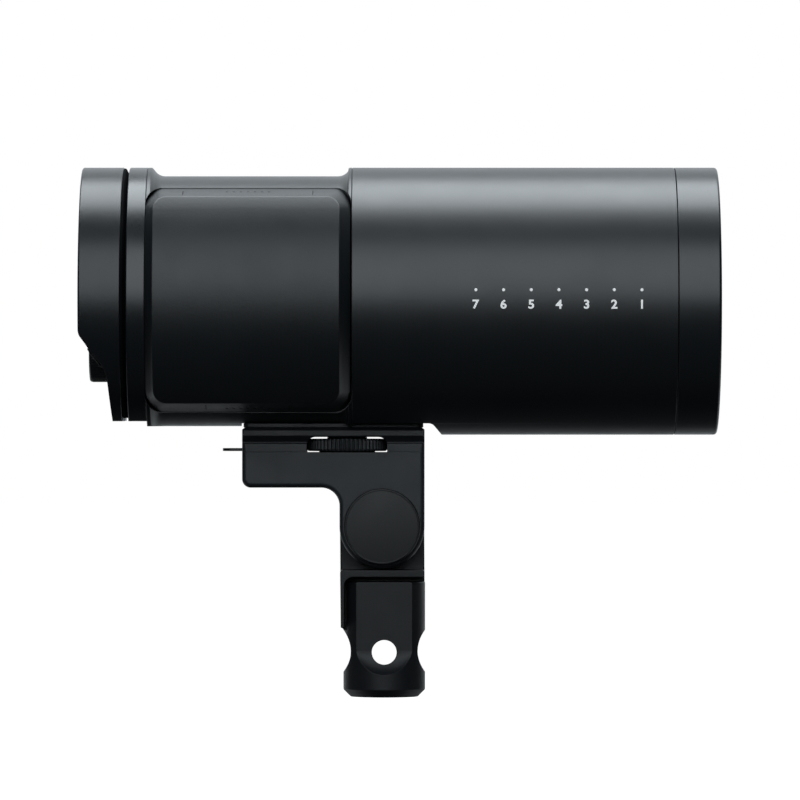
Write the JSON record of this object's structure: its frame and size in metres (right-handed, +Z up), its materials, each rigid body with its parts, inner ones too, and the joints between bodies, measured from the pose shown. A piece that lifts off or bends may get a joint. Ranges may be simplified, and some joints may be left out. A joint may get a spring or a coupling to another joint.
{
  "type": "monolight strobe",
  "caption": "Battery-powered monolight strobe: round lamp head with a frosted front glass, side battery and rear controls, on a tilting adapter with a stand socket.",
  "frame": {"origin": "centre of the stand socket's mouth, on the underside of the stem", "axes": "+Z up along the stand socket, +X the way the light points, the battery on the -Y side"},
  "size_m": [0.2372, 0.11, 0.198],
  "materials": {
    "anodised_black": "satin black anodised",
    "black_plastic": "fine-textured",
    "gloss_black": "gloss",
    "black_rubber": "matt",
    "steel": "bright",
    "brass": "satin",
    "frosted_glass": "frosted",
    "clear_glass": "clear",
    "reflector": "polished",
    "circuit_board": "solder mask",
    "capacitor_sleeve": "heat-shrink sleeve",
    "cell": "wrapped",
    "winding": "enamelled copper",
    "ceramic": "unglazed",
    "led": "phosphor"
  },
  "bodies": {
    "stem": {"stem": "anodised_black", "friction_washer": "brass"},
    "head": {"adapter_body": "anodised_black", "adapter_plate": "anodised_black", "adapter_screw_1": "steel", "adapter_screw_2": "steel", "battery_connector": "brass", "capacitor_1": "capacitor_sleeve", "capacitor_2": "capacitor_sleeve", "control_board": "circuit_board", "display_window": "gloss_black", "encoder_body": "steel", "fan_frame": "black_plastic", "flash_tube": "clear_glass", "flash_tube_socket": "ceramic", "foot_insert": "brass", "foot_plate": "anodised_black", "foot_screw_1": "steel", "foot_screw_2": "steel", "front_glass": "frosted_glass", "front_ring": "anodised_black", "front_tube": "anodised_black", "glass_seal": "black_rubber", "igbt_heatsink": "anodised_black", "inverter_transformer": "winding", "lcd_module": "gloss_black", "led_heatsink": "anodised_black", "mid_housing": "black_plastic", "modeling_led": "led", "pivot_cap": "anodised_black", "power_board": "circuit_board", "rear_cover": "black_plastic", "rear_ring": "anodised_black", "reflector": "reflector", "safety_tab": "steel", "side_cover": "black_plastic", "tilt_bolt": "steel"},
    "stand_lock_pad": {"lock_pad": "brass"},
    "stand_lock": {"stand_lock_screw": "steel", "stand_lock_knob": "black_plastic"},
    "tilt_washer": {"tilt_washer": "steel"},
    "tilt_knob": {"tilt_knob": "black_plastic"},
    "thumb_wheel": {"thumb_wheel": "anodised_black", "clamp_screw": "steel"},
    "battery": {"battery_cover": "black_plastic", "battery_base": "black_plastic", "battery_cell_1": "cell", "battery_cell_2": "cell", "battery_cell_3": "cell", "battery_cell_4": "cell", "battery_board": "circuit_board"},
    "battery_release_top": {"battery_release_top": "black_plastic"},
    "battery_release_bottom": {"battery_release_bottom": "black_plastic"},
    "dial": {"control_dial": "anodised_black", "encoder_shaft": "steel"},
    "power_button": {"power_button": "black_rubber"},
    "menu_button": {"menu_button": "black_rubber"},
    "modeling_light_button": {"modeling_light_button": "black_rubber"},
    "test_button": {"test_button": "black_rubber"},
    "fan": {"fan_rotor": "black_plastic"}
  },
  "joints": [
    {"name": "head_tilt", "type": "hinge", "parent": "stem", "child": "head", "pos_m": [-0.0008, 0, 0.0638], "axis": [0, 1, 0], "range_deg": [-75, 90]},
    {"name": "tilt_clamp_travel", "type": "slide", "parent": "head", "child": "tilt_washer", "axis": [0, 1, 0], "range_m": [0, 0.00152]},
    {"name": "tilt_knob_turn", "type": "hinge", "parent": "tilt_washer", "child": "tilt_knob", "pos_m": [-0.0008, 0.02, 0.0638], "axis": [0, 1, 0], "range_deg": [0, 432]},
    {"name": "stand_lock_travel", "type": "slide", "parent": "stem", "child": "stand_lock_pad", "axis": [0, -1, 0], "range_m": [-0.00102, 0.00202]},
    {"name": "stand_lock_turn", "type": "hinge", "parent": "stand_lock_pad", "child": "stand_lock", "pos_m": [0, 0.02, 0.033], "axis": [0, -1, 0], "range_deg": [-360, 720]},
    {"name": "thumb_wheel_turn", "type": "hinge", "parent": "head", "child": "thumb_wheel", "pos_m": [-0.0139, 0, 0.0942], "axis": [0, 0, 1], "continuous": true},
    {"name": "battery_slide", "type": "slide", "parent": "head", "child": "battery", "axis": [0, -1, 0], "range_m": [0, 0.045]},
    {"name": "battery_release_top_press", "type": "slide", "parent": "battery", "child": "battery_release_top", "axis": [0, 0, -1], "range_m": [0, 0.0014], "stiffness_N_per_m": 800},
    {"name": "battery_release_bottom_press", "type": "slide", "parent": "battery", "child": "battery_release_bottom", "axis": [0, 0, 1], "range_m": [0, 0.0014], "stiffness_N_per_m": 800},
    {"name": "dial_turn", "type": "hinge", "parent": "head", "child": "dial", "pos_m": [-0.106, 0, 0.1297], "axis": [1, 0, 0], "continuous": true},
    {"name": "power_button_press", "type": "slide", "parent": "head", "child": "power_button", "axis": [0.8, 0, 0.6], "range_m": [0, 0.0008], "stiffness_N_per_m": 900},
    {"name": "menu_button_press", "type": "slide", "parent": "head", "child": "menu_button", "axis": [0.8, 0, 0.6], "range_m": [0, 0.0008], "stiffness_N_per_m": 900},
    {"name": "modeling_light_button_press", "type": "slide", "parent": "head", "child": "modeling_light_button", "axis": [0.8, 0, 0.6], "range_m": [0, 0.0008], "stiffness_N_per_m": 900},
    {"name": "test_button_press", "type": "slide", "parent": "head", "child": "test_button", "axis": [0.8, 0, 0.6], "range_m": [0, 0.0008], "stiffness_N_per_m": 900},
    {"name": "fan_spin", "type": "hinge", "parent": "head", "child": "fan", "pos_m": [0.036, 0, 0.148], "axis": [1, 0, 0], "continuous": true}
  ],
  "couplings": [
    {"joint": "tilt_clamp_travel", "follows": "tilt_knob_turn", "m_per_rad": 0.00019894},
    {"joint": "stand_lock_travel", "follows": "stand_lock_turn", "m_per_rad": 0.00015915}
  ]
}
